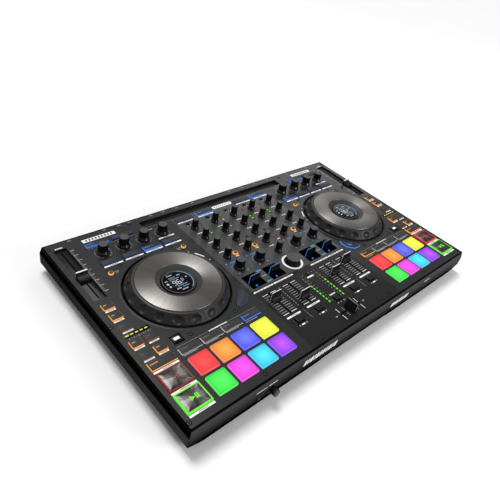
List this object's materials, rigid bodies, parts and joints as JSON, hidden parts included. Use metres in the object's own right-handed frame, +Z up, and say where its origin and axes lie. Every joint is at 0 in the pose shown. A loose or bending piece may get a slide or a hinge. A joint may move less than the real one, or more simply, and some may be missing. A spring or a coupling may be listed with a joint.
{
  "type": "dj controller",
  "caption": "Flat four-channel mixing controller with two jog wheels, lit pads, knobs, paddles, pitch faders, channel faders and a crossfader.",
  "frame": {"origin": "centre of the bounding box in X and Y, at the table surface under the feet", "axes": "+X along the long side towards the user's right, +Y away from the user, +Z up"},
  "size_m": [0.7264, 0.4338, 0.0712],
  "materials": {
    "panel": "matt dark grey powder coat",
    "case": "satin moulded black",
    "board": "solder mask",
    "screen": "gloss black display",
    "jog_metal": "spun brushed disc in a black rim",
    "button_metal": "brushed metal look face in a lit frame",
    "silicone": "translucent silicone, lit from below",
    "rubber": "soft touch black rubber",
    "cap": "satin black"
  },
  "bodies": {
    "chassis": {"bottom_case": "case", "top_plate": "panel", "main_board": "board", "jog_display_left": "screen", "jog_display_right": "screen"},
    "jog_wheel_left": {"jog_wheel_left": "jog_metal"},
    "pad_mat_left": {"pad_mat_left": "silicone"},
    "cue_button_left": {"cue_button_left": "button_metal"},
    "play_button_left": {"play_button_left": "button_metal"},
    "pitch_fader_left": {"pitch_fader_left": "cap"},
    "jog_wheel_right": {"jog_wheel_right": "jog_metal"},
    "pad_mat_right": {"pad_mat_right": "silicone"},
    "cue_button_right": {"cue_button_right": "button_metal"},
    "play_button_right": {"play_button_right": "button_metal"},
    "pitch_fader_right": {"pitch_fader_right": "cap"},
    "channel_fader_1": {"channel_fader_1": "cap"},
    "fx_paddle_1": {"fx_paddle_1": "cap"},
    "fx_knob_left_1": {"fx_knob_left_1": "rubber"},
    "fx_knob_right_1": {"fx_knob_right_1": "rubber"},
    "ch1_gain_knob": {"ch1_gain_knob": "rubber"},
    "ch1_high_knob": {"ch1_high_knob": "rubber"},
    "ch1_mid_knob": {"ch1_mid_knob": "rubber"},
    "ch1_low_knob": {"ch1_low_knob": "rubber"},
    "ch1_filter_knob": {"ch1_filter_knob": "rubber"},
    "channel_fader_2": {"channel_fader_2": "cap"},
    "fx_paddle_2": {"fx_paddle_2": "cap"},
    "fx_knob_left_2": {"fx_knob_left_2": "rubber"},
    "fx_knob_right_2": {"fx_knob_right_2": "rubber"},
    "ch2_gain_knob": {"ch2_gain_knob": "rubber"},
    "ch2_high_knob": {"ch2_high_knob": "rubber"},
    "ch2_mid_knob": {"ch2_mid_knob": "rubber"},
    "ch2_low_knob": {"ch2_low_knob": "rubber"},
    "ch2_filter_knob": {"ch2_filter_knob": "rubber"},
    "channel_fader_3": {"channel_fader_3": "cap"},
    "fx_paddle_3": {"fx_paddle_3": "cap"},
    "fx_knob_left_3": {"fx_knob_left_3": "rubber"},
    "fx_knob_right_3": {"fx_knob_right_3": "rubber"},
    "ch3_gain_knob": {"ch3_gain_knob": "rubber"},
    "ch3_high_knob": {"ch3_high_knob": "rubber"},
    "ch3_mid_knob": {"ch3_mid_knob": "rubber"},
    "ch3_low_knob": {"ch3_low_knob": "rubber"},
    "ch3_filter_knob": {"ch3_filter_knob": "rubber"},
    "channel_fader_4": {"channel_fader_4": "cap"},
    "fx_paddle_4": {"fx_paddle_4": "cap"},
    "fx_knob_left_4": {"fx_knob_left_4": "rubber"},
    "fx_knob_right_4": {"fx_knob_right_4": "rubber"},
    "ch4_gain_knob": {"ch4_gain_knob": "rubber"},
    "ch4_high_knob": {"ch4_high_knob": "rubber"},
    "ch4_mid_knob": {"ch4_mid_knob": "rubber"},
    "ch4_low_knob": {"ch4_low_knob": "rubber"},
    "ch4_filter_knob": {"ch4_filter_knob": "rubber"},
    "master_level_knob": {"master_level_knob": "rubber"},
    "booth_level_knob": {"booth_level_knob": "rubber"},
    "cue_mix_knob": {"cue_mix_knob": "rubber"},
    "cue_level_knob": {"cue_level_knob": "rubber"},
    "sampler_level_knob": {"sampler_level_knob": "rubber"},
    "crossfader": {"crossfader": "cap"},
    "browse_encoder": {"browse_encoder": "rubber"},
    "phones_knob": {"phones_knob": "rubber"}
  },
  "joints": [
    {"name": "pitch_fader_left_slide", "type": "slide", "parent": "chassis", "child": "pitch_fader_left", "axis": [0, 1, 0], "range_m": [-0.043, 0.066]},
    {"name": "pitch_fader_right_slide", "type": "slide", "parent": "chassis", "child": "pitch_fader_right", "axis": [0, 1, 0], "range_m": [-0.035, 0.074]},
    {"name": "channel_fader_1_slide", "type": "slide", "parent": "chassis", "child": "channel_fader_1", "axis": [0, 1, 0], "range_m": [-0.035, 0.013]},
    {"name": "channel_fader_2_slide", "type": "slide", "parent": "chassis", "child": "channel_fader_2", "axis": [0, 1, 0], "range_m": [-0.013, 0.035]},
    {"name": "channel_fader_3_slide", "type": "slide", "parent": "chassis", "child": "channel_fader_3", "axis": [0, 1, 0], "range_m": [-0.026, 0.022]},
    {"name": "channel_fader_4_slide", "type": "slide", "parent": "chassis", "child": "channel_fader_4", "axis": [0, 1, 0], "range_m": [-0.0395, 0.0085]},
    {"name": "crossfader_slide", "type": "slide", "parent": "chassis", "child": "crossfader", "axis": [1, 0, 0], "range_m": [-0.0225, 0.0225]},
    {"name": "fx_paddle_1_turn", "type": "hinge", "parent": "chassis", "child": "fx_paddle_1", "pos_m": [-0.0984, -0.0348, 0.042], "axis": [1, 0, 0], "range_deg": [-18, 18], "stiffness_Nm_per_rad": 0.05},
    {"name": "fx_paddle_2_turn", "type": "hinge", "parent": "chassis", "child": "fx_paddle_2", "pos_m": [-0.0492, -0.0348, 0.042], "axis": [1, 0, 0], "range_deg": [-18, 18], "stiffness_Nm_per_rad": 0.05},
    {"name": "fx_paddle_3_turn", "type": "hinge", "parent": "chassis", "child": "fx_paddle_3", "pos_m": [0.0492, -0.0348, 0.042], "axis": [1, 0, 0], "range_deg": [-18, 18], "stiffness_Nm_per_rad": 0.05},
    {"name": "fx_paddle_4_turn", "type": "hinge", "parent": "chassis", "child": "fx_paddle_4", "pos_m": [0.0984, -0.0348, 0.042], "axis": [1, 0, 0], "range_deg": [-18, 18], "stiffness_Nm_per_rad": 0.05},
    {"name": "pad_mat_left_press", "type": "slide", "parent": "chassis", "child": "pad_mat_left", "axis": [0, 0, -1], "range_m": [0, 0.001], "stiffness_N_per_m": 8000, "springref_m": -0.0005},
    {"name": "cue_button_left_press", "type": "slide", "parent": "chassis", "child": "cue_button_left", "axis": [0, 0, -1], "range_m": [0, 0.0012], "stiffness_N_per_m": 600, "springref_m": -0.001},
    {"name": "play_button_left_press", "type": "slide", "parent": "chassis", "child": "play_button_left", "axis": [0, 0, -1], "range_m": [0, 0.0012], "stiffness_N_per_m": 600, "springref_m": -0.001},
    {"name": "pad_mat_right_press", "type": "slide", "parent": "chassis", "child": "pad_mat_right", "axis": [0, 0, -1], "range_m": [0, 0.001], "stiffness_N_per_m": 8000, "springref_m": -0.0005},
    {"name": "cue_button_right_press", "type": "slide", "parent": "chassis", "child": "cue_button_right", "axis": [0, 0, -1], "range_m": [0, 0.0012], "stiffness_N_per_m": 600, "springref_m": -0.001},
    {"name": "play_button_right_press", "type": "slide", "parent": "chassis", "child": "play_button_right", "axis": [0, 0, -1], "range_m": [0, 0.0012], "stiffness_N_per_m": 600, "springref_m": -0.001},
    {"name": "browse_encoder_turn", "type": "hinge", "parent": "chassis", "child": "browse_encoder", "pos_m": [0, -0.034, 0.049], "axis": [0, 0, 1], "continuous": true},
    {"name": "phones_knob_turn", "type": "hinge", "parent": "chassis", "child": "phones_knob", "pos_m": [-0.213, -0.211, 0.025], "axis": [0, -1, 0], "range_deg": [-150, 150]},
    {"name": "jog_wheel_left_turn", "type": "hinge", "parent": "chassis", "child": "jog_wheel_left", "pos_m": [-0.221, 0.0195, 0.049], "axis": [0, 0, 1], "continuous": true},
    {"name": "jog_wheel_right_turn", "type": "hinge", "parent": "chassis", "child": "jog_wheel_right", "pos_m": [0.221, 0.0195, 0.049], "axis": [0, 0, 1], "continuous": true},
    {"name": "ch1_filter_knob_turn", "type": "hinge", "parent": "chassis", "child": "ch1_filter_knob", "pos_m": [-0.0984, 0.0045, 0.049], "axis": [0, 0, 1], "range_deg": [-150, 150]},
    {"name": "ch2_filter_knob_turn", "type": "hinge", "parent": "chassis", "child": "ch2_filter_knob", "pos_m": [-0.0492, 0.0045, 0.049], "axis": [0, 0, 1], "range_deg": [-150, 150]},
    {"name": "ch3_filter_knob_turn", "type": "hinge", "parent": "chassis", "child": "ch3_filter_knob", "pos_m": [0.0492, 0.0045, 0.049], "axis": [0, 0, 1], "range_deg": [-150, 150]},
    {"name": "ch4_filter_knob_turn", "type": "hinge", "parent": "chassis", "child": "ch4_filter_knob", "pos_m": [0.0984, 0.0045, 0.049], "axis": [0, 0, 1], "range_deg": [-150, 150]},
    {"name": "fx_knob_left_1_turn", "type": "hinge", "parent": "chassis", "child": "fx_knob_left_1", "pos_m": [-0.2803, 0.154, 0.049], "axis": [0, 0, 1], "range_deg": [-150, 150]},
    {"name": "fx_knob_left_2_turn", "type": "hinge", "parent": "chassis", "child": "fx_knob_left_2", "pos_m": [-0.2402, 0.154, 0.049], "axis": [0, 0, 1], "range_deg": [-150, 150]},
    {"name": "fx_knob_left_3_turn", "type": "hinge", "parent": "chassis", "child": "fx_knob_left_3", "pos_m": [-0.2001, 0.154, 0.049], "axis": [0, 0, 1], "range_deg": [-150, 150]},
    {"name": "fx_knob_left_4_turn", "type": "hinge", "parent": "chassis", "child": "fx_knob_left_4", "pos_m": [-0.16, 0.154, 0.049], "axis": [0, 0, 1], "range_deg": [-150, 150]},
    {"name": "fx_knob_right_1_turn", "type": "hinge", "parent": "chassis", "child": "fx_knob_right_1", "pos_m": [0.16, 0.154, 0.049], "axis": [0, 0, 1], "range_deg": [-150, 150]},
    {"name": "fx_knob_right_2_turn", "type": "hinge", "parent": "chassis", "child": "fx_knob_right_2", "pos_m": [0.2001, 0.154, 0.049], "axis": [0, 0, 1], "range_deg": [-150, 150]},
    {"name": "fx_knob_right_3_turn", "type": "hinge", "parent": "chassis", "child": "fx_knob_right_3", "pos_m": [0.2402, 0.154, 0.049], "axis": [0, 0, 1], "range_deg": [-150, 150]},
    {"name": "fx_knob_right_4_turn", "type": "hinge", "parent": "chassis", "child": "fx_knob_right_4", "pos_m": [0.2803, 0.154, 0.049], "axis": [0, 0, 1], "range_deg": [-150, 150]},
    {"name": "ch1_gain_knob_turn", "type": "hinge", "parent": "chassis", "child": "ch1_gain_knob", "pos_m": [-0.0984, 0.1359, 0.049], "axis": [0, 0, 1], "range_deg": [-150, 150]},
    {"name": "ch1_high_knob_turn", "type": "hinge", "parent": "chassis", "child": "ch1_high_knob", "pos_m": [-0.0984, 0.1036, 0.049], "axis": [0, 0, 1], "range_deg": [-150, 150]},
    {"name": "ch1_mid_knob_turn", "type": "hinge", "parent": "chassis", "child": "ch1_mid_knob", "pos_m": [-0.0984, 0.0713, 0.049], "axis": [0, 0, 1], "range_deg": [-150, 150]},
    {"name": "ch1_low_knob_turn", "type": "hinge", "parent": "chassis", "child": "ch1_low_knob", "pos_m": [-0.0984, 0.039, 0.049], "axis": [0, 0, 1], "range_deg": [-150, 150]},
    {"name": "ch2_gain_knob_turn", "type": "hinge", "parent": "chassis", "child": "ch2_gain_knob", "pos_m": [-0.0492, 0.1359, 0.049], "axis": [0, 0, 1], "range_deg": [-150, 150]},
    {"name": "ch2_high_knob_turn", "type": "hinge", "parent": "chassis", "child": "ch2_high_knob", "pos_m": [-0.0492, 0.1036, 0.049], "axis": [0, 0, 1], "range_deg": [-150, 150]},
    {"name": "ch2_mid_knob_turn", "type": "hinge", "parent": "chassis", "child": "ch2_mid_knob", "pos_m": [-0.0492, 0.0713, 0.049], "axis": [0, 0, 1], "range_deg": [-150, 150]},
    {"name": "ch2_low_knob_turn", "type": "hinge", "parent": "chassis", "child": "ch2_low_knob", "pos_m": [-0.0492, 0.039, 0.049], "axis": [0, 0, 1], "range_deg": [-150, 150]},
    {"name": "ch3_gain_knob_turn", "type": "hinge", "parent": "chassis", "child": "ch3_gain_knob", "pos_m": [0.0492, 0.1359, 0.049], "axis": [0, 0, 1], "range_deg": [-150, 150]},
    {"name": "ch3_high_knob_turn", "type": "hinge", "parent": "chassis", "child": "ch3_high_knob", "pos_m": [0.0492, 0.1036, 0.049], "axis": [0, 0, 1], "range_deg": [-150, 150]},
    {"name": "ch3_mid_knob_turn", "type": "hinge", "parent": "chassis", "child": "ch3_mid_knob", "pos_m": [0.0492, 0.0713, 0.049], "axis": [0, 0, 1], "range_deg": [-150, 150]},
    {"name": "ch3_low_knob_turn", "type": "hinge", "parent": "chassis", "child": "ch3_low_knob", "pos_m": [0.0492, 0.039, 0.049], "axis": [0, 0, 1], "range_deg": [-150, 150]},
    {"name": "ch4_gain_knob_turn", "type": "hinge", "parent": "chassis", "child": "ch4_gain_knob", "pos_m": [0.0984, 0.1359, 0.049], "axis": [0, 0, 1], "range_deg": [-150, 150]},
    {"name": "ch4_high_knob_turn", "type": "hinge", "parent": "chassis", "child": "ch4_high_knob", "pos_m": [0.0984, 0.1036, 0.049], "axis": [0, 0, 1], "range_deg": [-150, 150]},
    {"name": "ch4_mid_knob_turn", "type": "hinge", "parent": "chassis", "child": "ch4_mid_knob", "pos_m": [0.0984, 0.0713, 0.049], "axis": [0, 0, 1], "range_deg": [-150, 150]},
    {"name": "ch4_low_knob_turn", "type": "hinge", "parent": "chassis", "child": "ch4_low_knob", "pos_m": [0.0984, 0.039, 0.049], "axis": [0, 0, 1], "range_deg": [-150, 150]},
    {"name": "master_level_knob_turn", "type": "hinge", "parent": "chassis", "child": "master_level_knob", "pos_m": [0, 0.1359, 0.049], "axis": [0, 0, 1], "range_deg": [-150, 150]},
    {"name": "booth_level_knob_turn", "type": "hinge", "parent": "chassis", "child": "booth_level_knob", "pos_m": [0, 0.1036, 0.049], "axis": [0, 0, 1], "range_deg": [-150, 150]},
    {"name": "cue_mix_knob_turn", "type": "hinge", "parent": "chassis", "child": "cue_mix_knob", "pos_m": [0, 0.0713, 0.049], "axis": [0, 0, 1], "range_deg": [-150, 150]},
    {"name": "cue_level_knob_turn", "type": "hinge", "parent": "chassis", "child": "cue_level_knob", "pos_m": [0, 0.039, 0.049], "axis": [0, 0, 1], "range_deg": [-150, 150]},
    {"name": "sampler_level_knob_turn", "type": "hinge", "parent": "chassis", "child": "sampler_level_knob", "pos_m": [0, 0.0045, 0.049], "axis": [0, 0, 1], "range_deg": [-150, 150]}
  ]
}
